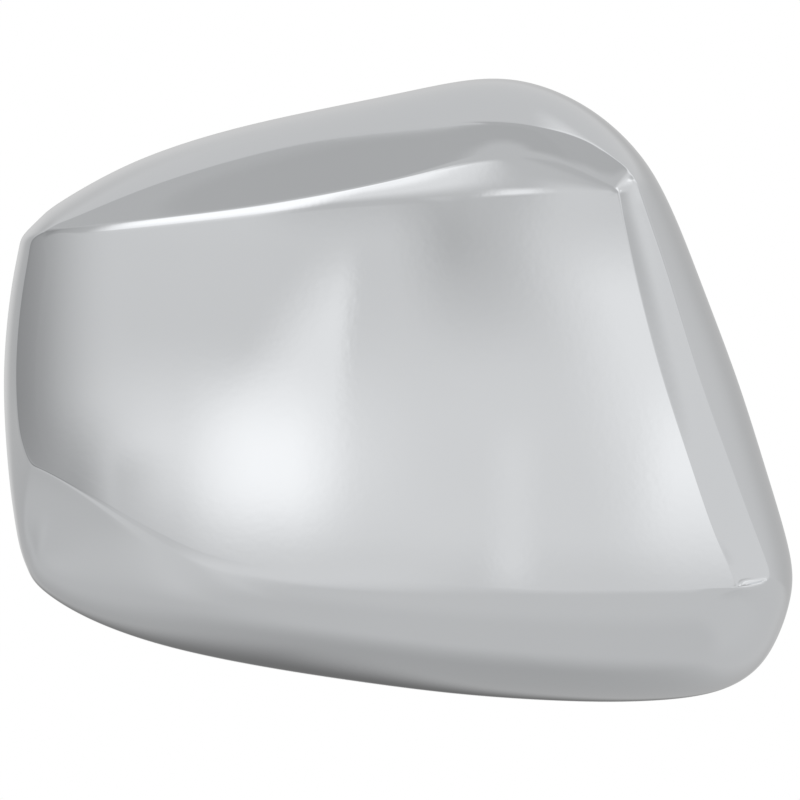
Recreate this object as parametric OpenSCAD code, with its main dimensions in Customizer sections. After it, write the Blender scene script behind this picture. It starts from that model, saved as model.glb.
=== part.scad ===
// Wing mirror cover: a plated shell that fits over the front of a door mirror housing.
// X runs along the mirror, from the outboard end to the door. Z is up.
// The rim lies in the plane Y = 0, and the shell bulges towards -Y.

/* [Overall size] */
// Width from the outboard end to the door end
cover_w = 245; // [210:1:290]
// Height from the lowest to the highest point
cover_h = 194; // [165:1:230]
// Depth from the rim to the crown of the front panel
cover_d = 90; // [75:1:120]
// Thickness of the moulded wall
wall = 2.5; // [1.5:0.1:3.5]

/* [Front panel] */
// Radius of the panel's crown from top to bottom
crown_r = 400; // [300:10:900]
// Radius of the panel's crown from end to end
sweep_r = 700; // [500:10:1500]
// Slope with which the panel rolls away at its outboard end
roll_slope = 1; // [0.5:0.05:1.3]
// Distance over which that roll fades out
roll_fade = 22; // [15:1:35]
// Width of the soft border of the panel along its bottom and its outboard end
border_w = 6; // [3:0.5:9]

/* [Bevel and shoulder above the panel] */
// Slope of the bevel beside the panel, compared with the panel
bevel_in = 0.08; // [0:0.02:0.2]
// Slope of the bevel beside the shoulder, compared with the panel
bevel_out = 0.36; // [0.2:0.02:0.5]
// Slope of the shoulder beside the bevel, compared with the panel
shoulder_in = 0.75; // [0.5:0.05:1]
// Slope of the shoulder beside the top crease, compared with the panel
shoulder_out = 1.1; // [0.8:0.05:1.4]

/* [Cove beside the panel] */
// Slope of the cove's wall under the panel's door-side edge, compared with the panel
cove_in = 1; // [0.5:0.05:1.2]
// Slope of the cove's floor at its outer crease, compared with the panel
cove_out = 0.3; // [0:0.05:0.4]
// Half width of the rounding on the panel's door-side edge
edge_r = 0.3; // [0.2:0.1:0.8]

/* [Bands round the sides] */
// Depth of the straight skirt next to the rim
skirt_d = 16; // [8:1:24]
// How far the skirt flares out between its top and the rim
skirt_flare = 0.2; // [0:0.1:1]
// Slope of the top band where it leaves its crease
top_band = 1.9; // [1.5:0.1:2.5]
// Slope of the door-side band where it leaves its crease
door_band = 1.9; // [1.5:0.1:2.5]
// Slope of the bottom band where it leaves the panel
bottom_band = 0.3; // [0.2:0.05:0.6]
// Slope of the outboard band where it leaves the panel
outboard_band = 1.7; // [1.3:0.1:2.2]
// Rounding of the creases at the top and at both ends
crease_r = 0.8; // [0.4:0.1:1.2]
// Rounding of the soft crease along the bottom
bottom_crease_r = 5; // [2:0.5:6]

/* [Hidden] */

// The ribs below are drawn on a grid of this size, and stretched to cover_w by cover_h.
grid = [245, 194];
// Each rib runs from the outline, over the crease, to the edge of the panel, as [x, z] points.
// They go round the cover from its top outboard corner, along the top first.
// A fourth pair is the width of the bevel above the panel, and the half width of the rounding
// between that bevel and the shoulder.
// A rib with two points has no shoulder or cove: there the band meets the panel itself.
ribs = [
    [[-115, 49.5], [-109.2, 48.8], [-107.6, 47.3], [0.5, 0.3]],
    [[-110, 54.3], [-104.4, 51.6], [-103.4, 48.6], [1.4, 0.8]],
    [[-104.5, 58.5], [-98.2, 53.8], [-96.4, 48.5], [2.6, 1]],
    [[-83, 70.5], [-76.7, 62.8], [-74.6, 50.6], [2.3, 0.9]],
    [[-55, 80], [-48.8, 71.7], [-48.7, 53.5], [2.4, 0.8]],
    [[-27, 86.5], [-20.9, 78.2], [-21.9, 56.7], [3.8, 0.7]],
    [[0.5, 92], [4, 80.7], [2.5, 58.3], [7.4, 0.6]],
    [[24, 96.5], [24.9, 82.7], [23.4, 59.6], [11.5, 2.5]],
    [[42.5, 95], [42.9, 81.2], [40.8, 60.6], [11, 4]],
    [[60, 87], [57.8, 77.2], [55.7, 61.1], [6, 3]],
    [[73, 75.5], [66.8, 71.2], [63.1, 60.9], [2.8, 1.6]],
    [[81, 64], [72.7, 66.1], [67, 60.6], [1.2, 0.8]],
    [[88, 49], [76.4, 55.8], [68.5, 54.9]],
    [[95.5, 29.5], [83.5, 35.4], [72.9, 34.8]],
    [[105.5, 3], [92, 7], [80.4, 5.9]],
    [[113.5, -22.5], [101.6, -20.4], [89.1, -20.4]],
    [[120, -44], [109.6, -42.4], [96.4, -42.3]],
    [[122.5, -57.5], [114.4, -55.3], [101.8, -54.5]],
    [[121, -67.5], [113, -59.3], [103.3, -59.7]],
    [[118, -76], [104.6, -61.7], [101.8, -60.3]],
    [[111.5, -86.5], [98.2, -62.8]],
    [[98, -94], [89.7, -63.6]],
    [[76, -96.5], [72.7, -63.8]],
    [[52, -96.5], [49.8, -64.3]],
    [[20, -94.5], [19.9, -63.3]],
    [[-12, -90.5], [-9, -61.3]],
    [[-44, -85.5], [-37.9, -57.8]],
    [[-74, -79], [-65.8, -51.3]],
    [[-97, -70.5], [-89.2, -37.2]],
    [[-111, -61.5], [-103.6, -28.2]],
    [[-114.8, -55.5], [-110.4, -24.6]],
    [[-117.5, -48.5], [-113.9, -22.4]],
    [[-119.5, -36.5], [-116.2, -16.5]],
    [[-121, -23.5], [-117.6, -9.5]],
    [[-122.5, 3], [-118.1, 6]],
    [[-120.5, 28], [-116.6, 26.4]],
    [[-118, 42], [-114.1, 40.8]],
    [[-117, 46.6], [-113.1, 46.3], [-109.6, 44.8]],
];
rib_count = len(ribs);
// Ribs at which one side of the cover gives way to the next, as [first, last]
top_to_door = [10.85, 11.25];
door_to_bottom = [17.5, 19];
bottom_to_outboard = [25.5, 29.3];
outboard_to_top = [-0.7, 1.6];
// Ribs between which the bands' slope changes at the door side's foot
band_to_bottom = [18, 21];
// Ribs between which the shoulder loses its turn towards the cove
shoulder_ends = [9.5, 11];
// Largest share of the shoulder's width that the bevel may take
bevel_share = 0.8;
// Largest share of the rest that the rounding beside the bevel may take
rounding_share = 0.6;
// Point under which the panel's crown lies, and to which its rings shrink
crown = [0, 0];

// Points round the cover between one rib and the next
rib_steps = 3;
around = rib_count * rib_steps;
// Steps over the band, round the crease, over the slope, round the ridge, over the bevel and
// over the panel
band_steps = 5;
crease_steps = 2;
slope_steps = 2;
ridge_steps = 2;
bevel_steps = 2;
panel_steps = 7;

function unit(v) = v / norm(v);
function mix(a, b, f) = a + (b - a) * f;
function ease(span, u) =
    let (f = max(0, min(1, (u - span[0]) / (span[1] - span[0]))))
    f * f * (3 - 2 * f);
function stretch(p) = [p[0] * cover_w / grid[0], p[1] * cover_h / grid[1]];

// A rib in millimetres, with what is left out in the list above: the panel's edge inside its
// soft border, and a sharp edge without a bevel
function full_rib(i) =
    let (p = [for (q = ribs[(i + rib_count) % rib_count]) stretch(q)])
    [
        p[0],
        p[1],
        len(p) > 2 ? p[2] : p[1] + border_w * unit(crown - p[1]),
        len(p) > 3 ? p[3] : [2 * edge_r, edge_r]
    ];

// Control points of a cubic B-spline that passes the ribs' own points closely
knots = [for (i = [0 : rib_count - 1]) (8 * full_rib(i) - full_rib(i - 1) - full_rib(i + 1)) / 6];

// The rib at place u round the cover, with u counted in ribs
function rib_at(u) =
    let (i = floor(u), f = u - i)
    let (a = knots[(i - 1 + rib_count) % rib_count], b = knots[i % rib_count])
    let (c = knots[(i + 1) % rib_count], d = knots[(i + 2) % rib_count])
    (a * pow(1 - f, 3) + b * (3 * f * f * f - 6 * f * f + 4)
        + c * (1 + 3 * f + 3 * f * f - 3 * f * f * f) + d * f * f * f) / 6;

// A value that changes from side to side of the cover, at place u
function by_side(u, top, door, bottom, outboard, to_bottom = door_to_bottom) =
    let (v = u > rib_count - 1 ? u - rib_count : u)
    let (a = mix(outboard, top, ease(outboard_to_top, v)))
    let (b = mix(a, door, ease(top_to_door, v)))
    let (c = mix(b, bottom, ease(to_bottom, v)))
    mix(c, outboard, ease(bottom_to_outboard, v));

// Depth of the panel's crowned surface at a point, also beyond the panel's edge
function panel_y(p) =
    let (from_end = p[0] + cover_w / 2)
    -cover_d + pow(p[1] - crown[1], 2) / (2 * crown_r) + pow(p[0] - crown[0], 2) / (2 * sweep_r)
        + roll_slope * roll_fade * exp(-from_end / roll_fade);

// Drop below the panel's surface at distance t outside its edge: a bevel whose slope turns
// evenly over the width ridge, then a slope that turns evenly from slopes[0] to slopes[1] up to
// the width w, with a rounding of half width e between the two
function drop(t, w, ridge, e, bevel, slopes) =
    let (turn = (bevel[1] - bevel[0]) / (2 * ridge), past = max(t - ridge, 0), s = t - ridge)
    let (more_in = slopes[0] - bevel[1], more_out = slopes[1] - bevel[1])
    let (q = more_in * s + (more_out - more_in) * s * abs(s) / (2 * (w - ridge)))
    let (k = more_in * e, near = k > 0 ? max(0, 1 - abs(q) / k) : 0)
    bevel[0] * t + turn * (t * t - past * past) + max(0, q) + k * pow(near, 3) / 6;

function bezier3(a, b, c, d, f) =
    a * pow(1 - f, 3) + b * 3 * f * pow(1 - f, 2) + c * 3 * f * f * (1 - f) + d * f * f * f;
function bezier2(a, b, c, f) = a * pow(1 - f, 2) + b * 2 * f * (1 - f) + c * f * f;

// Points of the outer face along the rib at place u, from the rim to the last ring of the panel.
// A plain line has no rounding at the ridge: its rings lie at the ridge, or at a third of the
// slope's width.
function outer_line(u, plain = false) =
    let (rib = rib_at(u), outline = rib[0], crease = rib[1], edge = rib[2])
    let (w = norm(crease - edge), out = unit(crease - edge))
    let (bevel = [bevel_in, bevel_out] * by_side(u, 1, 0, 0, 0))
    let (shoulder_end = mix(shoulder_out, shoulder_in, ease(shoulder_ends, u)))
    let (slopes = [by_side(u, shoulder_in, cove_in, 0, 0), by_side(u, shoulder_end, cove_out, 0, 0)])
    let (wide = max(rib[3][1], edge_r), ridge = min(max(rib[3][0], wide + edge_r), bevel_share * w))
    let (e = min(wide, (w - ridge) * rounding_share))
    let (r = min(by_side(u, crease_r, crease_r, bottom_crease_r, crease_r), w / 2))
    let (leaves = by_side(u, top_band, door_band, bottom_band, outboard_band, band_to_bottom))
    let (on_slope = function (t) let (p = edge + out * t)
        [p[0], panel_y(p) + drop(t, w, ridge, e, bevel, slopes), p[1]])
    let (above = plain ? max(ridge, w / 3) : ridge + e, below = plain ? above : ridge - e)
    let (corner = on_slope(w), lean = (outline - crease) * 0.6)
    let (a = [outline[0], -skirt_d, outline[1]])
    let (b = a + [0, (corner[1] + skirt_d) * 0.55, 0])
    let (c = corner + [lean[0], norm(lean) * leaves, lean[1]])
    let (last = 1 - r / norm(corner - a) / 1.5)
    let (flare = skirt_flare * unit(outline - crease))
    concat(
        [[outline[0] + flare[0], 0, outline[1] + flare[1]]],
        [for (k = [0 : band_steps]) bezier3(a, b, c, corner, last * k / band_steps)],
        [for (k = [1 : crease_steps])
            bezier2(bezier3(a, b, c, corner, last), corner, on_slope(w - r), k / crease_steps)],
        [for (k = [1 : slope_steps]) on_slope(mix(w - r, above, k / slope_steps))],
        [for (k = [1 : ridge_steps]) on_slope(mix(above, below, k / ridge_steps))],
        [for (k = [1 : bevel_steps]) on_slope(below * (1 - k / bevel_steps))],
        [for (k = [1 : panel_steps - 1])
            let (p = mix(edge, crown, k / panel_steps)) [p[0], panel_y(p), p[1]]]
    );

outer = [for (i = [0 : around - 1]) outer_line(i / rib_steps)];
plain = [for (i = [0 : around - 1]) outer_line(i / rib_steps, true)];
rings = len(outer[0]);

// Rings of the plain lines that the inner face follows. It turns at once where slopes meet.
crease_ring = 1 + band_steps + crease_steps / 2;
first_slope_ring = 1 + band_steps + crease_steps + 1;
last_slope_ring = first_slope_ring + slope_steps - 1;
inner_rings = concat(
    [for (j = [0 : band_steps]) j],
    [crease_ring, first_slope_ring, last_slope_ring],
    [for (j = [rings - panel_steps : rings - 1]) j]
);

function at(i, j) = plain[(i + around) % around][inner_rings[j]];
function inward(i, j) =
    let (j0 = max(j - 1, 0), j1 = min(j + 1, len(inner_rings) - 1))
    unit(cross(at(i + 1, j) - at(i - 1, j), at(i, j1) - at(i, j0)));
function inner_point(i, j) =
    let (n = inward(i, j))
    j == 0 ? at(i, j) + wall * unit([n[0], 0, n[2]]) : at(i, j) + wall * n;
inner = [for (i = [0 : around - 1]) [for (j = [0 : len(inner_rings) - 1]) inner_point(i, j)]];

// Triangles between neighbouring lines of one face. Its points start at number base.
function skin(base, count, flip) = [
    for (i = [0 : around - 1], j = [0 : count - 2])
        let (a = base + i * count + j, b = base + ((i + 1) % around) * count + j)
        each flip ? [[a, a + 1, b], [b, a + 1, b + 1]] : [[a, b, a + 1], [b, b + 1, a + 1]]
];
// Triangles from the innermost ring of one face to its middle
function cap(base, count, middle, flip) = [
    for (i = [0 : around - 1])
        let (a = base + i * count + count - 1, b = base + ((i + 1) % around) * count + count - 1)
        flip ? [b, a, middle] : [a, b, middle]
];

module cover() {
    inner_count = len(inner_rings);
    inner_base = around * rings;
    middle = inner_base + around * inner_count;
    top = [crown[0], panel_y(crown), crown[1]];
    points = concat(
        [for (line = outer) each line],
        [for (line = inner) each line],
        [top, top + [0, wall, 0]]
    );
    rim = [
        for (i = [0 : around - 1])
            let (n = (i + 1) % around, a = i * rings, b = n * rings)
            let (c = inner_base + i * inner_count, d = inner_base + n * inner_count)
            each [[a, c, b], [b, c, d]]
    ];
    color("gainsboro")
        polyhedron(points, concat(
            skin(0, rings, false),
            cap(0, rings, middle, false),
            skin(inner_base, inner_count, true),
            cap(inner_base, inner_count, middle + 1, true),
            rim
        ));
}

cover();
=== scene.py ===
"""Wing mirror cover: a plated shell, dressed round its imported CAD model."""

from collections import namedtuple

import bpy
import numpy as np
from bpy.props import FloatProperty, FloatVectorProperty, PointerProperty
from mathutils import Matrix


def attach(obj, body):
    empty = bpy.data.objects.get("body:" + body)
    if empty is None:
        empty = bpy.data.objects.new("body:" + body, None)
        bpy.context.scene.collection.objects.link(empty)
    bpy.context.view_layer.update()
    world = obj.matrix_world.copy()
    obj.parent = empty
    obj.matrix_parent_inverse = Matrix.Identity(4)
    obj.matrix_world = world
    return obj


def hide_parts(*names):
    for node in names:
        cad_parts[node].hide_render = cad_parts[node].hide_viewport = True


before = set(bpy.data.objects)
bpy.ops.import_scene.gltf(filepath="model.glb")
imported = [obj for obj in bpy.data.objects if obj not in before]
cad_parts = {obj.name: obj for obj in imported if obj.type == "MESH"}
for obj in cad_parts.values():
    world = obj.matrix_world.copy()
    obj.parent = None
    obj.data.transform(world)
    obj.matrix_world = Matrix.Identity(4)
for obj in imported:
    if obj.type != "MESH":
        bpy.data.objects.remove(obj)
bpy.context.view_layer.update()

bl_info = {
    "name": "Wing mirror cover",
    "version": (1, 0, 0),
    "blender": (4, 5, 0),
    "location": "3D View > Sidebar > Mirror cover",
    "description": "Builds a plated wing mirror cover and the pale studio it is shown in",
    "category": "Object",
}

# ---------------------------------------------------------------- sizes


def length(name, description, default, low, high):
    """A length in metres that a user may change."""
    return FloatProperty(
        name=name, description=description, default=default, min=low, max=high,
        unit="LENGTH", subtype="DISTANCE", precision=4,
    )


def slope(name, description, default):
    """A slope, as depth over distance."""
    return FloatProperty(name=name, description=description, default=default, min=0, max=4)


class CoverSizes(bpy.types.PropertyGroup):
    """Sizes of the shell. They are the CAD source's own values."""

    cover_w: length("Width", "From the outboard end to the door end", 0.245, 0.2, 0.3)
    cover_h: length("Height", "From the lowest to the highest point", 0.194, 0.15, 0.25)
    cover_d: length("Depth", "From the rim to the crown of the front panel", 0.09, 0.07, 0.13)
    wall: length("Wall", "Thickness of the moulded wall", 0.0025, 0.001, 0.004)
    crown_r: length("Crown radius", "Crown of the panel from top to bottom", 0.4, 0.2, 1)
    sweep_r: length("Sweep radius", "Crown of the panel from end to end", 0.7, 0.3, 2)
    roll_slope: slope("Roll", "Slope with which the panel rolls away outboard", 1.0)
    roll_fade: length("Roll fade", "Distance over which that roll fades out", 0.022, 0.01, 0.05)
    border_w: length("Border", "Soft border along the panel's bottom", 0.006, 0.002, 0.01)
    shoulder_in: slope("Shoulder beside the panel", "Slope compared with the panel", 0.75)
    shoulder_out: slope("Shoulder beside the crease", "Slope compared with the panel", 1.1)
    bevel_in: slope("Bevel beside the panel", "Slope compared with the panel", 0.08)
    bevel_out: slope("Bevel beside the shoulder", "Slope compared with the panel", 0.36)
    cove_in: slope("Cove wall", "Slope under the panel's door-side edge", 1.0)
    cove_out: slope("Cove floor", "Slope at the cove's outer crease", 0.3)
    edge_r: length("Panel edge", "Half width of the rounding of its edge", 0.0003, 0.0002, 0.002)
    skirt_d: length("Skirt", "Depth of the straight skirt next to the rim", 0.016, 0.005, 0.03)
    skirt_flare: length("Flare", "How far the skirt flares out to the rim", 0.0002, 0, 0.002)
    top_band: slope("Top band", "Slope where it leaves its crease", 1.9)
    door_band: slope("Door-side band", "Slope where it leaves its crease", 1.9)
    bottom_band: slope("Bottom band", "Slope where it leaves the panel", 0.3)
    outboard_band: slope("Outboard band", "Slope where it leaves the panel", 1.7)
    crease_r: length("Crease", "Rounding of the top and end creases", 0.0008, 0.0002, 0.003)
    bottom_crease_r: length("Bottom crease", "Rounding of the soft crease", 0.005, 0.001, 0.01)
    lip_r: length("Rim rounding", "Rounding of both edges of the rim", 0.0005, 0.0001, 0.001)


class CoverFinish(bpy.types.PropertyGroup):
    """Colours and gloss of the plating."""

    plating: FloatVectorProperty(
        name="Plating", description="Colour of the bright plating", subtype="COLOR",
        default=(0.795, 0.81, 0.828), min=0, max=1,
    )
    inside: FloatVectorProperty(
        name="Inside", description="Colour of the thin plating on the hidden side",
        subtype="COLOR", default=(0.56, 0.565, 0.575), min=0, max=1,
    )
    roughness: FloatProperty(
        name="Roughness", description="Blur of the bright plating", default=0.05,
        min=0, max=1, subtype="FACTOR",
    )


class CoverStudio(bpy.types.PropertyGroup):
    """The stage round the cover."""

    floor_drop: length("Floor drop", "Depth of the floor under the rim's middle", 0.17, 0.1, 1)
    floor_r: length("Floor radius", "Radius at which the floor has faded out", 1.2, 0.5, 3)
    camera_away: length("Camera distance", "From the rim plane to the camera", 10, 1, 11)
    view_w: length("View width", "Width that the picture takes in", 0.2488, 0.1, 1)
    floor: FloatVectorProperty(
        name="Floor", description="Colour of the floor", subtype="COLOR",
        default=(0.9, 0.9, 0.9), min=0, max=1,
    )


# ---------------------------------------------------------------- shell

# The ribs are drawn on a grid of this size in millimetres, and stretched to the cover's size.
# Each runs from the outline, over the crease, to the edge of the panel, as (x, z) points.
# They go round the cover from its top outboard corner, along the top first.
# A fourth pair is the width of the bevel above the panel, and the half width of the rounding
# between that bevel and the shoulder. Without it both are as thin as the panel's edge.
# A rib with two points has no shoulder or cove: there the band meets the panel itself.
GRID = (245, 194)
RIBS = (
    ((-115, 49.5), (-109.2, 48.8), (-107.6, 47.3), (0.5, 0.3)),
    ((-110, 54.3), (-104.4, 51.6), (-103.4, 48.6), (1.4, 0.8)),
    ((-104.5, 58.5), (-98.2, 53.8), (-96.4, 48.5), (2.6, 1)),
    ((-83, 70.5), (-76.7, 62.8), (-74.6, 50.6), (2.3, 0.9)),
    ((-55, 80), (-48.8, 71.7), (-48.7, 53.5), (2.4, 0.8)),
    ((-27, 86.5), (-20.9, 78.2), (-21.9, 56.7), (3.8, 0.7)),
    ((0.5, 92), (4, 80.7), (2.5, 58.3), (7.4, 0.6)),
    ((24, 96.5), (24.9, 82.7), (23.4, 59.6), (11.5, 2.5)),
    ((42.5, 95), (42.9, 81.2), (40.8, 60.6), (11, 4)),
    ((60, 87), (57.8, 77.2), (55.7, 61.1), (6, 3)),
    ((73, 75.5), (66.8, 71.2), (63.1, 60.9), (2.8, 1.6)),
    ((81, 64), (72.7, 66.1), (67, 60.6), (1.2, 0.8)),
    ((88, 49), (76.4, 55.8), (68.5, 54.9)),
    ((95.5, 29.5), (83.5, 35.4), (72.9, 34.8)),
    ((105.5, 3), (92, 7), (80.4, 5.9)),
    ((113.5, -22.5), (101.6, -20.4), (89.1, -20.4)),
    ((120, -44), (109.6, -42.4), (96.4, -42.3)),
    ((122.5, -57.5), (114.4, -55.3), (101.8, -54.5)),
    ((121, -67.5), (113, -59.3), (103.3, -59.7)),
    ((118, -76), (104.6, -61.7), (101.8, -60.3)),
    ((111.5, -86.5), (98.2, -62.8)),
    ((98, -94), (89.7, -63.6)),
    ((76, -96.5), (72.7, -63.8)),
    ((52, -96.5), (49.8, -64.3)),
    ((20, -94.5), (19.9, -63.3)),
    ((-12, -90.5), (-9, -61.3)),
    ((-44, -85.5), (-37.9, -57.8)),
    ((-74, -79), (-65.8, -51.3)),
    ((-97, -70.5), (-89.2, -37.2)),
    ((-111, -61.5), (-103.6, -28.2)),
    ((-114.8, -55.5), (-110.4, -24.6)),
    ((-117.5, -48.5), (-113.9, -22.4)),
    ((-119.5, -36.5), (-116.2, -16.5)),
    ((-121, -23.5), (-117.6, -9.5)),
    ((-122.5, 3), (-118.1, 6)),
    ((-120.5, 28), (-116.6, 26.4)),
    ((-118, 42), (-114.1, 40.8)),
    ((-117, 46.6), (-113.1, 46.3), (-109.6, 44.8)),
)
COUNT = len(RIBS)

# Ribs at which one side of the cover gives way to the next
TOP_TO_DOOR = (10.85, 11.25)
DOOR_TO_BOTTOM = (17.5, 19)
BOTTOM_TO_OUTBOARD = (25.5, 29.3)
OUTBOARD_TO_TOP = (-0.7, 1.6)
# Ribs between which the bands' slope changes at the door side's foot
BAND_TO_BOTTOM = (18, 21)
# Ribs between which the shoulder loses its turn towards the cove
SHOULDER_ENDS = (9.5, 11)
# Largest share of the shoulder's width that the bevel may take, and of the rest that its
# rounding may take
BEVEL_SHARE = 0.8
ROUNDING_SHARE = 0.6
# Share of the shoulder's width that the inner face's bevel takes at least
PLAIN_BEVEL_SHARE = 1 / 3
# Where a band's curve aims: from its crease, this share of the way out to the outline, and
# from the skirt, this share of the way forward to the crease
BAND_REACH = 0.6
BAND_RISE = 0.55
# How fast that curve runs where it ends, compared with its chord
BAND_END_SPEED = 1.5
# A slope below this counts as level, and a length below this as none
LEVEL = 1e-9
NO_LENGTH = 1e-12
# Point under which the panel's crown lies, and to which its rings shrink
CROWN = np.array((0.0, 0.0))

# Points round the cover from one rib to the next
STEPS_ROUND = 14
# Steps over the band, round the crease, over the slope, round the ridge, over the bevel and
# over the panel
Steps = namedtuple("Steps", "band crease slope ridge bevel panel")
OUTER_STEPS = Steps(40, 4, 12, 8, 8, 50)
INNER_STEPS = Steps(12, 2, 2, 1, 1, 16)
# Steps round each edge of the rim
LIP_STEPS = 4
# Shares of the skirt's depth at which it has rings
SKIRT_SHARES = np.array((0, 0.04, 0.2, 0.4, 0.6, 0.8))


def unit(v):
    """Vectors brought to length 1."""
    return v / np.linalg.norm(v, axis=-1, keepdims=True)


def mix(a, b, share):
    """The value that lies share of the way from a to b."""
    return a + (b - a) * share


def ease(limits, u):
    """0 before the first limit, 1 past the second, and a smooth cubic step between them."""
    f = np.clip((u - limits[0]) / (limits[1] - limits[0]), 0, 1)
    return f * f * (3 - 2 * f)


def ribs_at(s, u):
    """Outline, crease, panel edge and bevel at places u round the cover, as an array [u, 4, 2].

    A closed cubic B-spline whose control points are (8 rib - the two neighbours) / 6,
    so that it passes the ribs' own points closely.
    """
    full = np.zeros((COUNT, 4, 2))
    full[:, 3] = (2 * s.edge_r, s.edge_r)
    for i, rib in enumerate(RIBS):
        full[i, :len(rib)] = np.array(rib) * (s.cover_w / GRID[0], s.cover_h / GRID[1])
        if len(rib) == 2:
            full[i, 2] = full[i, 1] + s.border_w * unit(CROWN - full[i, 1])
    knots = (8 * full - np.roll(full, 1, 0) - np.roll(full, -1, 0)) / 6
    i = np.floor(u).astype(int)
    f = (u - i)[:, None, None]
    a, b, c, d = (knots[(i + k) % COUNT] for k in (-1, 0, 1, 2))
    return (
        a * (1 - f) ** 3
        + b * (3 * f**3 - 6 * f**2 + 4)
        + c * (1 + 3 * f + 3 * f**2 - 3 * f**3)
        + d * f**3
    ) / 6


def by_side(u, top, door, bottom, outboard, to_bottom=DOOR_TO_BOTTOM):
    """A value that eases from side to side of the cover, at places u."""
    v = np.where(u > COUNT - 1, u - COUNT, u)
    value = mix(outboard, top, ease(OUTBOARD_TO_TOP, v))
    value = mix(value, door, ease(TOP_TO_DOOR, v))
    value = mix(value, bottom, ease(to_bottom, v))
    return mix(value, outboard, ease(BOTTOM_TO_OUTBOARD, v))


def panel_y(s, x, z):
    """Depth of the crowned panel: two shallow parabolas and an exponential roll outboard."""
    from_end = x + s.cover_w / 2
    return (
        -s.cover_d
        + (z - CROWN[1]) ** 2 / (2 * s.crown_r)
        + (x - CROWN[0]) ** 2 / (2 * s.sweep_r)
        + s.roll_slope * s.roll_fade * np.exp(-from_end / s.roll_fade)
    )


def drop(t, w, ridge, e, bevel, slopes):
    """Drop below the panel at distance t outside its edge.

    A bevel whose slope turns evenly over its width, then a slope that turns evenly from
    slopes[0] to slopes[1] up to the width w, with a cubic rounding of half width e between.
    """
    past = t - ridge
    turn = (bevel[1] - bevel[0]) / (2 * ridge)
    on_bevel = bevel[0] * t + turn * (t**2 - np.maximum(past, 0) ** 2)
    more_in, more_out = slopes[0] - bevel[1], slopes[1] - bevel[1]
    on_slope = more_in * past + (more_out - more_in) * past * np.abs(past) / (2 * (w - ridge))
    rounding = np.maximum(more_in * e, NO_LENGTH)
    near = np.maximum(0, 1 - np.abs(on_slope) / rounding) * (more_in > LEVEL)
    return on_bevel + np.maximum(0, on_slope) + rounding * near**3 / 6


def face_lines(s, u, steps, plain=False):
    """The cover's front from the top of its skirt to the panel's last ring, [u, ring, xyz].

    Along each rib: a cubic Bezier band from the skirt to the crease, a quadratic Bezier
    round the crease, the shoulder or cove and the bevel as the panel's depth plus drop(),
    and the panel's depth on straight lines that run to the crown. A plain face has one ring
    at the ridge, or at PLAIN_BEVEL_SHARE of the width, in place of those round it.
    """
    rib = ribs_at(s, u)
    outline, crease, edge = rib[:, 0], rib[:, 1], rib[:, 2]
    w = np.linalg.norm(crease - edge, axis=1)
    outwards = unit(crease - edge)

    def column(v):
        """Values for each place round the cover, laid out to meet values for each ring."""
        return v[:, None]

    def shares(count):
        """Even shares of a way that is taken in count steps, from the first step's end."""
        return (np.arange(count) + 1)[None, :] / count

    on_top = column(by_side(u, 1, 0, 0, 0))
    bevel = (s.bevel_in * on_top, s.bevel_out * on_top)
    shoulder_out = mix(s.shoulder_out, s.shoulder_in, ease(SHOULDER_ENDS, u))
    slopes = (
        column(by_side(u, s.shoulder_in, s.cove_in, 0, 0)),
        column(by_side(u, shoulder_out, s.cove_out, 0, 0)),
    )
    e = np.maximum(rib[:, 3, 1], s.edge_r)
    ridge = np.clip(rib[:, 3, 0], e + s.edge_r, BEVEL_SHARE * w)
    e = np.minimum(e, (w - ridge) * ROUNDING_SHARE)
    r = by_side(u, s.crease_r, s.crease_r, s.bottom_crease_r, s.crease_r)
    r = np.minimum(r, w / 2)
    leaves = by_side(u, s.top_band, s.door_band, s.bottom_band, s.outboard_band, BAND_TO_BOTTOM)

    def on_slope(t):
        """Points at distances t outside the panel's edge."""
        p = edge[:, None] + outwards[:, None] * t[..., None]
        depth = panel_y(s, p[..., 0], p[..., 1])
        depth = depth + drop(t, column(w), column(ridge), column(e), bevel, slopes)
        return np.stack((p[..., 0], depth, p[..., 1]), -1)

    corner = on_slope(column(w))[:, 0]
    reach = (outline - crease) * BAND_REACH
    a = np.stack((outline[:, 0], np.full(len(u), -s.skirt_d), outline[:, 1]), -1)
    b = a + (corner[:, 1] + s.skirt_d)[:, None] * (0, BAND_RISE, 0)
    c = corner.copy()
    c[:, [0, 2]] += reach
    c[:, 1] += np.linalg.norm(reach, axis=1) * leaves
    last = 1 - r / np.linalg.norm(corner - a, axis=1) / BAND_END_SPEED
    f = (column(last) * np.concatenate(((0,), shares(steps.band)[0])))[..., None]
    a, b, c, corner = (v[:, None] for v in (a, b, c, corner))
    band = a * (1 - f) ** 3 + b * 3 * f * (1 - f) ** 2 + c * 3 * f**2 * (1 - f) + corner * f**3

    f = shares(steps.crease)[..., None]
    past = on_slope(column(w - r))
    round_crease = band[:, -1:] * (1 - f) ** 2 + corner * 2 * f * (1 - f) + past * f**2
    above, below = ridge + e, ridge - e
    if plain:
        above = below = np.maximum(ridge, w * PLAIN_BEVEL_SHARE)
    slope_rings = on_slope(mix(column(w - r), column(above), shares(steps.slope)))
    ridge_rings = on_slope(mix(column(above), column(below), shares(steps.ridge)))
    bevel_rings = on_slope(column(below) * (1 - shares(steps.bevel)))
    f = shares(steps.panel)[:, :-1, None]
    p = edge[:, None] * (1 - f) + CROWN * f
    panel = np.stack((p[..., 0], panel_y(s, p[..., 0], p[..., 1]), p[..., 1]), -1)
    return np.concatenate((band, round_crease, slope_rings, ridge_rings, bevel_rings, panel), 1)


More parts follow.
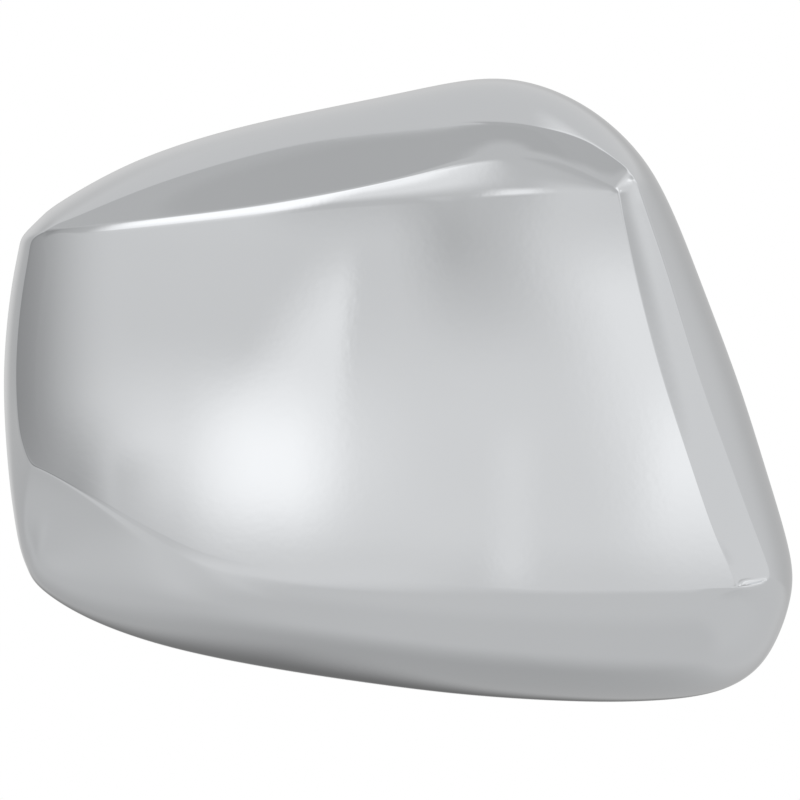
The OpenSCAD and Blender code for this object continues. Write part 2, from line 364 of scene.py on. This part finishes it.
def skirt_lines(s, u):
    """The straight skirt from just below the rim to its top, flaring evenly to the rim."""
    rib = ribs_at(s, u)
    outline, flare = rib[:, 0], s.skirt_flare * unit(rib[:, 0] - rib[:, 1])
    depth = mix(s.lip_r, s.skirt_d, SKIRT_SHARES)
    p = outline[:, None] + flare[:, None] * (1 - depth / s.skirt_d)[None, :, None]
    depth = np.broadcast_to(-depth, p.shape[:2])
    return np.stack((p[..., 0], depth, p[..., 1]), -1)


def outward(lines):
    """Unit normals of a grid of lines round the cover: the cross product of its two steps."""
    around = np.roll(lines, -1, 0) - np.roll(lines, 1, 0)
    along = np.gradient(lines, axis=1)
    return unit(np.cross(along, around))


def lip_rings(s, outer_edge, side):
    """Rings over the rim: a quarter circle, the flat, and a quarter circle down again."""
    turn = np.linspace(0, np.pi / 2, LIP_STEPS + 1)[1:]
    rise = s.lip_r * np.sin(turn)
    inset = s.lip_r * (1 - np.cos(turn))
    inset = np.concatenate((inset, s.wall - inset[::-1]))
    rise = np.concatenate((rise, rise[::-1]))
    rings = outer_edge[:, None] - side[:, None] * inset[None, :, None]
    rings[..., 1] += rise
    return rings


def shell_rings(s):
    """All rings of the shell from the crown over the rim to the crown's inner side, the two
    poles that close it, and the number of its first inner ring.

    The inner face is a plain one, without the rings that end its roundings, moved in by
    the wall along its normals.
    """
    u = np.arange(COUNT * STEPS_ROUND) / STEPS_ROUND
    skirt = skirt_lines(s, u)
    outer = np.concatenate((skirt, face_lines(s, u, OUTER_STEPS)), 1)
    plain = face_lines(s, u, INNER_STEPS, plain=True)
    crease_end = INNER_STEPS.band + INNER_STEPS.crease
    ridge_end = crease_end + INNER_STEPS.slope + INNER_STEPS.ridge
    plain = np.delete(plain, (crease_end, ridge_end), 1)
    model = np.concatenate((skirt, plain), 1)
    inner = model - s.wall * outward(model)
    side = unit(outward(skirt)[:, 0] * (1, 0, 1))
    lip = lip_rings(s, outer[:, 0], side)
    inner[:, 0] = outer[:, 0] - s.wall * side
    lines = np.concatenate((outer[:, ::-1], lip[:, :-1], inner), 1)
    poles = np.array((CROWN[0], panel_y(s, *CROWN), CROWN[1])) + np.outer((0, s.wall), (0, 1, 0))
    return lines.transpose(1, 0, 2), poles, outer.shape[1] + lip.shape[1] - 1


def ring_quads(count, around):
    """Quads between neighbouring rings, whose points are counted ring by ring."""
    here = np.arange(around)
    there = np.roll(here, -1)
    start = (np.arange(count - 1) * around)[:, None]
    corners = (start + here, start + there, start + around + there, start + around + here)
    return np.stack(corners, -1).reshape(-1, 4).tolist()


def pole_triangles(start, around, pole):
    """Triangles to a pole from the ring whose points are counted from start."""
    here = start + np.arange(around)
    return np.stack((here, np.roll(here, -1), np.full(around, pole)), -1)


def closed_mesh(name, rings, poles):
    """A closed mesh of quads between neighbouring rings, with triangles to a pole at each end."""
    count, around = rings.shape[:2]
    first_pole, last_pole = count * around, count * around + 1
    faces = ring_quads(count, around)
    faces += pole_triangles(0, around, first_pole)[:, ::-1].tolist()
    faces += pole_triangles((count - 1) * around, around, last_pole).tolist()
    mesh = bpy.data.meshes.new(name)
    mesh.from_pydata(np.concatenate((rings.reshape(-1, 3), poles)).tolist(), [], faces)
    mesh.polygons.foreach_set("use_smooth", [True] * len(mesh.polygons))
    return mesh


# ---------------------------------------------------------------- node tools


class Value:
    """A number socket that takes part in Python expressions. Each operator adds a Math node."""

    def __init__(self, graph, socket):
        self.graph, self.socket = graph, socket

    def __add__(self, other):
        return self.graph.math("ADD", self, other)

    def __sub__(self, other):
        return self.graph.math("SUBTRACT", self, other)

    def __rsub__(self, other):
        return self.graph.math("SUBTRACT", other, self)

    def __mul__(self, other):
        return self.graph.math("MULTIPLY", self, other)

    def __truediv__(self, other):
        return self.graph.math("DIVIDE", self, other)

    def __pow__(self, other):
        return self.graph.math("POWER", self, other)

    def __neg__(self):
        return self * -1

    __radd__, __rmul__ = __add__, __mul__


class Graph:
    """Fills one node tree from empty."""

    def __init__(self, tree):
        self.tree = tree
        tree.nodes.clear()

    def node(self, kind, settings=(), inputs=()):
        """A node with its settings set first, then its sockets set or linked."""
        made = self.tree.nodes.new(kind)
        for name, value in dict(settings).items():
            setattr(made, name, value)
        for name, value in dict(inputs).items():
            value = getattr(value, "socket", value)
            if isinstance(value, bpy.types.NodeSocket):
                self.tree.links.new(value, made.inputs[name])
            else:
                made.inputs[name].default_value = value
        return made

    def value(self, kind, output, settings=(), inputs=()):
        """One output of a new node, as a Value."""
        return Value(self, self.node(kind, settings, inputs).outputs[output])

    def math(self, operation, *values):
        """The result of one Math node."""
        return self.value("ShaderNodeMath", 0, {"operation": operation}, enumerate(values))

    def step(self, value, low, high, start=0.0, end=1.0):
        """A smooth step from start to end while value goes from low to high."""
        return self.value(
            "ShaderNodeMapRange", "Result", {"interpolation_type": "SMOOTHSTEP"},
            {"Value": value, "From Min": low, "From Max": high, "To Min": start, "To Max": end},
        )

    def noise(self, place, scale, detail):
        """Noise around 0.5, with scale features a metre."""
        return self.value(
            "ShaderNodeTexNoise", 0, {}, {"Vector": place, "Scale": scale, "Detail": detail}
        )

    def stretched(self, place, scale):
        """The place, with its three directions scaled apart."""
        return self.node("ShaderNodeMapping", {}, {"Vector": place, "Scale": scale}).outputs[0]

    def place(self):
        """The place on the object, in metres."""
        return self.node("ShaderNodeTexCoord").outputs["Object"]

    def split(self, vector):
        """The x, y and z of a vector."""
        parts = self.node("ShaderNodeSeparateXYZ", {}, {0: vector})
        return [Value(self, output) for output in parts.outputs]

    def tint(self, share, low, high):
        """A colour between two others."""
        return self.node(
            "ShaderNodeMix", {"data_type": "RGBA"},
            {"Factor": share, 6: (*low, 1), 7: (*high, 1)},
        ).outputs[2]

    def surface(self, inputs):
        """A Principled surface, as the tree's end."""
        shader = self.node("ShaderNodeBsdfPrincipled", {}, inputs)
        self.node("ShaderNodeOutputMaterial", {}, {"Surface": shader.outputs[0]})


def material(name):
    """A new material and the graph that fills its tree."""
    made = bpy.data.materials.new(name)
    made.use_nodes = True
    return made, Graph(made.node_tree)


def darker(colour, share):
    """A colour, brought down to a share of its brightness."""
    return [channel * share for channel in colour]


# ---------------------------------------------------------------- finishes


# Values between which most of a noise texture lies
MOST_NOISE = (0.3, 0.7)


def plate(graph, colour, rough, skin, strength, depth):
    """Ends a material's tree with bare metal over the moulding's uneven skin."""
    bump = graph.node(
        "ShaderNodeBump", {}, {"Strength": strength, "Distance": depth, "Height": skin}
    )
    graph.surface({
        "Base Color": colour, "Metallic": 1.0, "Roughness": rough, "Normal": bump.outputs[0],
    })


def bright_plating(finish):
    """Polished plating: faint clouds in tone and gloss, wiping marks that lie level, and the
    skin of the moulding under it."""
    made, graph = material("bright_plating")
    place = graph.place()
    clouds = graph.noise(place, scale=14, detail=3)
    wipes = graph.noise(graph.stretched(place, (18, 18, 90)), scale=1, detail=4)
    skin = graph.noise(place, scale=420, detail=1)
    cloudy = graph.step(clouds, low=0.3, high=0.75, start=0.8, end=1.3)
    wiped = graph.step(wipes, low=0.55, high=0.8, start=0, end=0.25)
    dull = darker(finish.plating, share=0.985)
    colour = graph.tint(graph.step(clouds, *MOST_NOISE), dull, finish.plating)
    rough = finish.roughness * (cloudy + wiped)
    plate(graph, colour, rough, skin, strength=0.03, depth=0.0002)
    return made


def thin_plating(finish):
    """The hidden side: thinner, duller plating over moulded plastic, with flow marks."""
    made, graph = material("thin_plating")
    place = graph.place()
    clouds = graph.noise(place, scale=22, detail=4)
    flow = graph.noise(graph.stretched(place, (9, 30, 55)), scale=1, detail=5)
    skin = graph.noise(place, scale=700, detail=2)
    cloudy = graph.step(clouds, *MOST_NOISE, start=0.34, end=0.46)
    flowed = graph.step(flow, low=0.45, high=0.75, start=0, end=0.06)
    dull = darker(finish.inside, share=0.9)
    colour = graph.tint(graph.step(flow, *MOST_NOISE), dull, finish.inside)
    plate(graph, colour, cloudy + flowed, skin, strength=0.25, depth=0.0003)
    return made


class MIRROR_COVER_OT_shell(bpy.types.Operator):
    """Build the plated shell of the mirror cover"""

    bl_idname = "mirror_cover.shell"
    bl_label = "Build shell"

    def execute(self, context):
        rings, poles, inner_ring = shell_rings(context.scene.cover_sizes)
        mesh = closed_mesh("cover_shell", rings, poles)
        finish = context.scene.cover_finish
        mesh.materials.append(bright_plating(finish))
        mesh.materials.append(thin_plating(finish))
        around = rings.shape[1]
        hidden = np.zeros(len(mesh.polygons), np.int32)
        hidden[inner_ring * around:(len(rings) - 1) * around] = 1
        hidden[-around:] = 1
        mesh.polygons.foreach_set("material_index", hidden)
        shell = bpy.data.objects.new("cover_shell", mesh)
        context.scene.collection.objects.link(shell)
        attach(shell, "root")
        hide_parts("cover")
        return {"FINISHED"}


# ---------------------------------------------------------------- stage

# Soft cards of the studio, as the cover mirrors them, each laid over those before it. Angles
# are in degrees. Sideways they are 0 towards the camera and grow towards the door end, or for
# a card behind the cover 0 straight behind and growing towards the outboard end. Up and down
# they are 0 at the horizon. Each edge is (angle, softness), and lean says how far the left
# and right edges move sideways for each degree up. Tone is how bright the plating looks in
# the picture where it mirrors the card, from 0 to 1.
Card = namedtuple("Card", "name behind left right low high tone lean", defaults=((0, 0),))
CARDS = (
    Card("low wall", False, (-75, 20), (135, 25), (-60, 12), (0, 12), 0.735),
    Card("front wall", False, (-80, 20), (60, 20), (-15, 3), (16, 3), 0.775),
    Card("door-side wall", False, (30, 15), (118, 10), (-6, 4), (60, 4), 0.79),
    Card("door-side shade", False, (84, 12), (118, 10), (15.3, 1.8), (24, 3), 0.70),
    Card("door-side sheen", False, (40, 10), (66, 14), (16.5, 1.5), (34, 8), 0.82),
    Card("door-side light", False, (56, 5), (86, 5), (36, 8), (54.5, 2), 0.855),
    Card("door-side lamp", False, (62, 5), (80, 4), (48, 4), (56, 2), 0.95),
    Card("foot light", False, (93, 1.5), (165, 10), (28, 3), (60, 3), 0.9),
    Card("low door-side wall", False, (5, 2), (24, 5), (-20, 3), (-13, 3), 0.78),
    Card("tip shade", False, (18, 6), (50, 5), (30, 6), (72, 4), 0.685),
    Card("front low light", False, (-6, 4), (24, 8), (-15, 2), (4, 8), 0.81),
    Card("outboard curtain", False, (-250, 10), (-65, 30), (-28, 8), (40, 8), 0.54),
    Card("foot of curtain", False, (-105, 5), (-62, 14), (-20, 8), (-5, 6), 0.50),
    Card("low corner", False, (-95, 5), (-29, 21), (-15, 4), (-4, 4), 0.62),
    Card("outboard wall", False, (-194, 4), (-111, 14), (-70, 10), (70, 10), 0.70),
    Card("outboard floor", False, (-108, 16), (-38, 10), (-62, 8), (-30, 8), 0.755),
    Card("floor sheen", False, (-33, 10), (-12, 8), (-55, 12), (-14, 3), 0.80, (0.92, 0.92)),
    Card("streak", False, (-10, 3.5), (-3.7, 0.8), (-8, 4), (12, 3), 0.875, (0.6, 0.05)),
    Card("glow", False, (-38, 18), (-2, 5), (-11, 5), (0, 6), 0.87),
    Card("glow core", False, (-16, 6), (-5, 3), (-12, 5), (-1, 5), 0.96),
    Card("low shade", False, (-38, 4), (-28, 12), (-15, 4), (-5.5, 2), 0.735),
    Card("dim gap", False, (0.4, 2), (5.6, 2.5), (8, 7), (26, 6), 0.695, (-0.1, -0.1)),
    Card("dim line", False, (2.1, 0.7), (3.5, 0.5), (12.5, 3.5), (24, 4), 0.67),
    Card("thin line", False, (5, 1), (7, 1), (-17, 2), (-4, 3), 0.83),
    Card("upper door-side glow", False, (7.5, 1.5), (14, 4), (9, 4), (36, 8), 0.785),
    Card("door-side glow", False, (10.8, 2.5), (20, 3), (-15, 4), (12, 4), 0.87, (-0.16, 0)),
    Card("glow at the cove", False, (13.4, 1.4), (20, 3), (-10.5, 4), (0, 5), 0.925),
    Card("bevel light", False, (-30, 6), (3.5, 3.5), (34, 7), (64, 6), 0.85),
    Card("bevel core", False, (-30, 6), (-2.5, 2.5), (46, 5), (60, 4), 0.95),
    Card("bevel spot", False, (4.5, 1), (7.5, 1), (22, 2.5), (31, 2), 0.9),
    Card("ridge light", False, (-46, 7), (-9, 3), (18, 6), (68, 4), 0.9),
    Card("ridge light core", False, (-41, 7), (-9, 3), (28, 10), (62, 6), 1),
    Card("floor behind", True, (-12, 14), (34, 24), (-66, 14), (-3, 3), 0.62),
    Card("backdrop", True, (-72, 8), (41, 5), (-5, 3), (72, 2), 0.745),
    Card("door-side backdrop", True, (-35, 20), (-2, 8), (-5, 3), (13, 6), 0.66),
    Card("outboard backdrop", True, (14, 10), (75, 6), (-18, 6), (27, 8), 0.66),
    Card("outboard ceiling", True, (30, 4), (118, 10), (45, 4), (84, 3), 0.68),
    Card("ceiling corner", True, (-83, 9), (9, 3), (58, 2), (74, 2), 0.665),
    Card("ceiling edge", True, (-95, 24), (110, 12), (73, 2), (83.5, 2.5), 0.655),
    Card("foot lamp", True, (-84, 4), (-16, 6), (50, 4), (61, 2), 0.86),
    Card("dark gap", True, (1.8, 2), (7, 9), (-34, 22), (-4, 3), 0.35, (-0.25, -0.12)),
)
# Tone of the room where no card is
ROOM_TONE = 0.715

# A slanting bar of light, in lengths on a ceiling at height 1: how far aside it lies and how
# far it slants for each length ahead, how soft its sharp side is and over which length it
# fades on the other, where it begins, and where it thins out to which share
BAR_ASIDE, BAR_SLANT = 0.135, 0.085
BAR_EDGE, BAR_FADE = 0.045, 0.095
BAR_BEGINS, BAR_THINS, BAR_REST = (-0.2, 0.45), (0.7, 2.2), 0.25
# Between which angles up, in degrees, the bar comes and goes, and the tone that it adds
BAR_COMES, BAR_GOES, BAR_TONE = (12, 20), (22, 30), 0.22
# Least height of a direction, as a share of its length, for which the ceiling is worked out
BAR_HORIZON = 0.15

# The curve by which a display turns light into tone
DISPLAY_OFFSET = 0.055
DISPLAY_POWER = 2.4
# What the mirrored light is divided by, so that the plating gives the tones back
PLATING_SHARE = 0.8
# Strength of the white light on all that isn't mirrored. The camera sees it at 1.
AMBIENT = 0.75

# Shares of the floor's radius between which it fades out, and its mesh's points and rings
FLOOR_FADE = (0.35, 0.98)
FLOOR_ROUND = 96
FLOOR_RINGS = 12

# The lamp straight over the cover: its side and height in metres, and its power in watts
SOFT_LAMP_SIDE = 1.2
SOFT_LAMP_HEIGHT = 1.4
SOFT_LAMP_POWER = 6
# Point of the rim plane that the camera faces, as (x, z) in metres
VIEW_CENTRE = (0.00062, -0.0031)


def studio_tone(graph, direction):
    """Tone of the studio in a direction: the room, the cards over it, and the bar overhead.

    A card's mask is the product of four smooth steps, one at each of its edges, and the tone
    goes from what lies behind the card to the card's own by that mask.
    """
    x, y, z = graph.split(direction)
    degrees = 180 / np.pi
    front = graph.math("ARCTAN2", x, -y) * degrees
    behind = graph.math("ARCTAN2", -x, y) * degrees
    up = graph.math("ARCSINE", z) * degrees

    def rises(angle, edge):
        """0 before a card's edge and 1 past it."""
        return graph.step(angle, edge[0] - edge[1], edge[0] + edge[1])

    def falls(angle, edge):
        """1 before a card's edge and 0 past it."""
        return graph.step(angle, edge[0] - edge[1], edge[0] + edge[1], 1, 0)

    def leaning(card, lean):
        """The angle sideways, less lean times the angle up from the card's middle."""
        angle = behind if card.behind else front
        return angle - (up - (card.low[0] + card.high[0]) / 2) * lean if lean else angle

    tone = ROOM_TONE
    for card in CARDS:
        mask = rises(leaning(card, card.lean[0]), card.left)
        mask = mask * falls(leaning(card, card.lean[1]), card.right)
        mask = mask * rises(up, card.low) * falls(up, card.high)
        tone = (card.tone - tone) * mask + tone
        tone.socket.node.label = card.name
    return tone + ceiling_bar(graph, x, y, z, up) * BAR_TONE


def ceiling_bar(graph, x, y, z, up):
    """The bar of light, where a direction (x, y, z) meets the ceiling at (x, -y) / z.

    Across the bar a smooth step on its sharp side and an exponential fade on the other,
    times smooth steps along it and smooth steps with the angle up.
    """
    height = graph.math("MAXIMUM", z, BAR_HORIZON)
    across, ahead = x / height, -y / height
    off = across - ahead * BAR_SLANT + BAR_ASIDE
    fade = graph.math("EXPONENT", graph.math("MAXIMUM", off, 0) / -BAR_FADE)
    ends = graph.step(ahead, *BAR_BEGINS) * graph.step(ahead, *BAR_THINS, 1, BAR_REST)
    comes, goes = graph.step(up, *BAR_COMES), graph.step(up, *BAR_GOES, 1, 0)
    return graph.step(off, -BAR_EDGE, 0) * fade * ends * comes * goes


def light_world(scene):
    """White where the camera looks past the cover, the studio where the plating mirrors it."""
    world = bpy.data.worlds.new("studio")
    world.use_nodes = True
    scene.world = world
    graph = Graph(world.node_tree)
    direction = graph.node("ShaderNodeTexCoord").outputs["Generated"]
    tone = studio_tone(graph, direction)
    light = ((tone + DISPLAY_OFFSET) / (1 + DISPLAY_OFFSET)) ** DISPLAY_POWER
    ray = graph.node("ShaderNodeLightPath").outputs
    seen = graph.math("MAXIMUM", ray["Is Camera Ray"], ray["Is Transmission Ray"])

    def white(strength):
        """White light of one strength."""
        inputs = {"Color": (1, 1, 1, 1), "Strength": strength}
        return graph.node("ShaderNodeBackground", {}, inputs).outputs[0]

    plain, mirrored = white(seen * (1 - AMBIENT) + AMBIENT), white(light / PLATING_SHARE)
    either = graph.node(
        "ShaderNodeMixShader", {}, {0: ray["Is Glossy Ray"], 1: plain, 2: mirrored}
    )
    graph.node("ShaderNodeOutputWorld", {}, {"Surface": either.outputs[0]})


def pale_floor(studio):
    """Pale painted floor that fades out towards its rim, with a faint mottle."""
    made, graph = material("pale_floor")
    place = graph.place()
    x, y, _ = graph.split(place)
    away = graph.math("SQRT", x * x + y * y)
    fade_from, fade_to = (studio.floor_r * share for share in FLOOR_FADE)
    mottle = graph.noise(place, scale=30, detail=4)
    dull = darker(studio.floor, share=0.985)
    graph.surface({
        "Base Color": graph.tint(graph.step(mottle, *MOST_NOISE), dull, studio.floor),
        "Roughness": 0.6, "Specular IOR Level": 0.2,
        "Alpha": graph.step(away, fade_from, fade_to, 1, 0),
    })
    return made


def disc_mesh(name, radius, height):
    """A flat disc: rings at even shares of the radius, closed to a pole."""
    turn = np.arange(FLOOR_ROUND) / FLOOR_ROUND * 2 * np.pi
    shares = np.arange(FLOOR_RINGS, 0, -1)[:, None] / FLOOR_RINGS
    x, y = radius * shares * np.cos(turn), radius * shares * np.sin(turn)
    rings = np.stack((x, y, np.full(x.shape, height)), -1)
    faces = ring_quads(FLOOR_RINGS, FLOOR_ROUND)
    last_ring = (FLOOR_RINGS - 1) * FLOOR_ROUND
    faces += pole_triangles(last_ring, FLOOR_ROUND, x.size).tolist()
    mesh = bpy.data.meshes.new(name)
    mesh.from_pydata(rings.reshape(-1, 3).tolist() + [(0, 0, height)], [], faces)
    return mesh


class MIRROR_COVER_OT_stage(bpy.types.Operator):
    """Build the pale floor, the soft studio light and the camera"""

    bl_idname = "mirror_cover.stage"
    bl_label = "Build stage"

    def execute(self, context):
        scene, studio = context.scene, context.scene.cover_studio
        mesh = disc_mesh("floor", studio.floor_r, -studio.floor_drop)
        mesh.materials.append(pale_floor(studio))
        floor = bpy.data.objects.new("floor", mesh)
        scene.collection.objects.link(floor)
        floor.visible_glossy = False
        light_world(scene)
        lamp = bpy.data.objects.new("soft_lamp", bpy.data.lights.new("soft_lamp", "AREA"))
        lamp.data.size = SOFT_LAMP_SIDE
        lamp.data.energy = SOFT_LAMP_POWER
        lamp.location = (0, 0, SOFT_LAMP_HEIGHT)
        lamp.visible_glossy = False
        lamp.visible_camera = False
        scene.collection.objects.link(lamp)
        camera = bpy.data.objects.new("camera", bpy.data.cameras.new("camera"))
        camera.data.lens = camera.data.sensor_width * studio.camera_away / studio.view_w
        camera.location = (VIEW_CENTRE[0], -studio.camera_away, VIEW_CENTRE[1])
        camera.rotation_euler = (np.pi / 2, 0, 0)
        scene.collection.objects.link(camera)
        scene.camera = camera
        scene.view_settings.view_transform = "Standard"
        return {"FINISHED"}


class MIRROR_COVER_PT_panel(bpy.types.Panel):
    """Sizes, finish and stage of the mirror cover"""

    bl_label = "Wing mirror cover"
    bl_idname = "MIRROR_COVER_PT_panel"
    bl_space_type = "VIEW_3D"
    bl_region_type = "UI"
    bl_category = "Mirror cover"

    def draw(self, context):
        for group, operator in (
            (context.scene.cover_sizes, None),
            (context.scene.cover_finish, "mirror_cover.shell"),
            (context.scene.cover_studio, "mirror_cover.stage"),
        ):
            column = self.layout.column()
            for name in group.__annotations__:
                column.prop(group, name)
            if operator:
                column.operator(operator)


GROUPS = {"cover_sizes": CoverSizes, "cover_finish": CoverFinish, "cover_studio": CoverStudio}
CLASSES = (*GROUPS.values(), MIRROR_COVER_OT_shell, MIRROR_COVER_OT_stage, MIRROR_COVER_PT_panel)


def register():
    for made in CLASSES:
        bpy.utils.register_class(made)
    for name, group in GROUPS.items():
        setattr(bpy.types.Scene, name, PointerProperty(type=group))


def unregister():
    for name in GROUPS:
        delattr(bpy.types.Scene, name)
    for made in reversed(CLASSES):
        bpy.utils.unregister_class(made)


def main():
    register()
    bpy.ops.mirror_cover.shell()
    bpy.ops.mirror_cover.stage()


if __name__ == "__main__":
    main()
